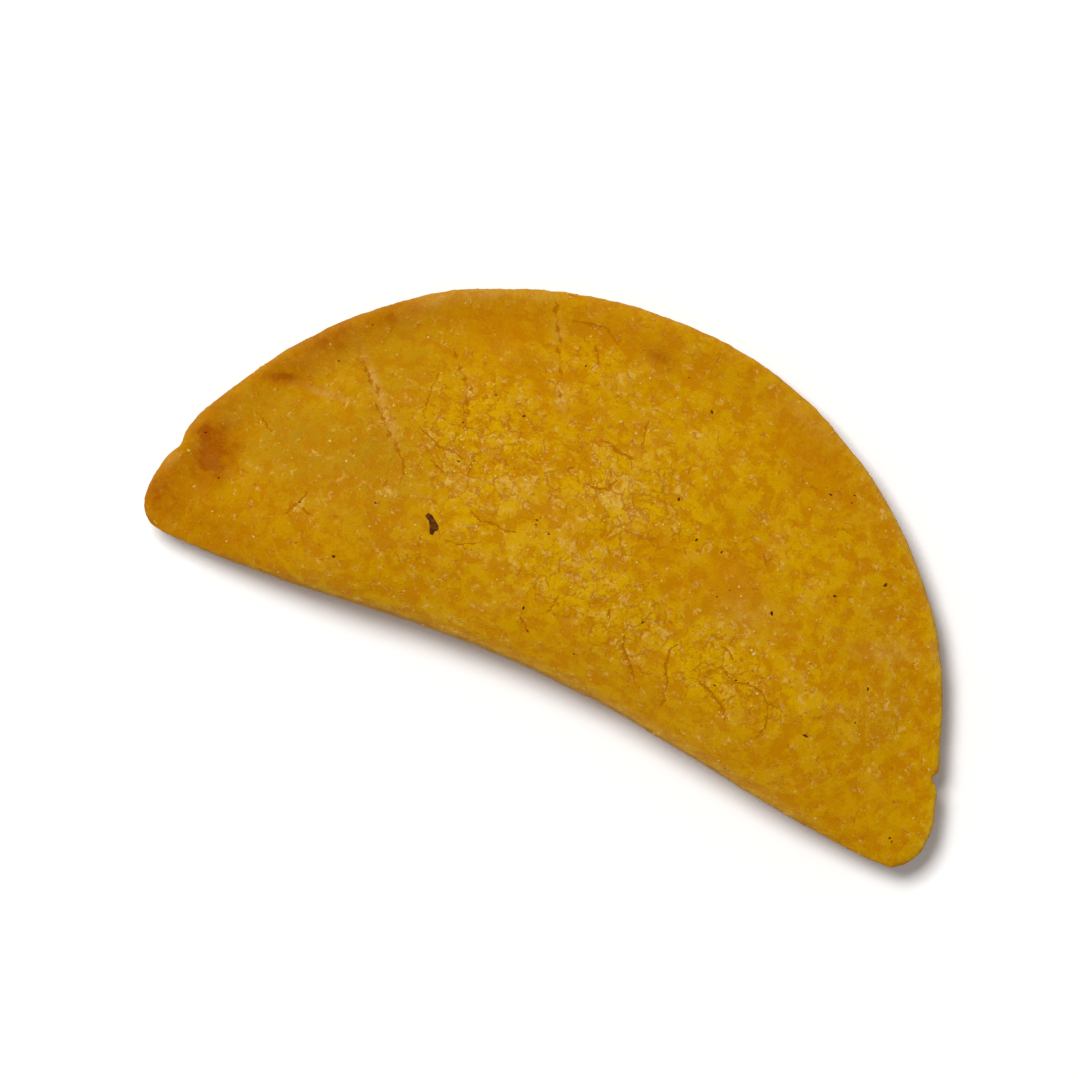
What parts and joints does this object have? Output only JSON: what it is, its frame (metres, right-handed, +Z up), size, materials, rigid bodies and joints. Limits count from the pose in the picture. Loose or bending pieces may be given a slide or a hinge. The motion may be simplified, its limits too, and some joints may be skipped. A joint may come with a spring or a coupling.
{
  "type": "empanada",
  "caption": "Half-moon corn-dough pie folded over its filling, with a plain pressed rim and a cracked, golden fried crust.",
  "frame": {"origin": "middle of the bounding box, on the surface the empanada rests on", "axes": "+X along the fold, +Y from the fold towards the pressed rim, +Z up"},
  "size_m": [0.1298, 0.0626, 0.0244],
  "materials": {
    "corn_crust": "fried corn dough: satin, finely grained and crackled, golden yellow with orange patches"
  },
  "bodies": {
    "root": {"empanada": "corn_crust"}
  },
  "joints": []
}
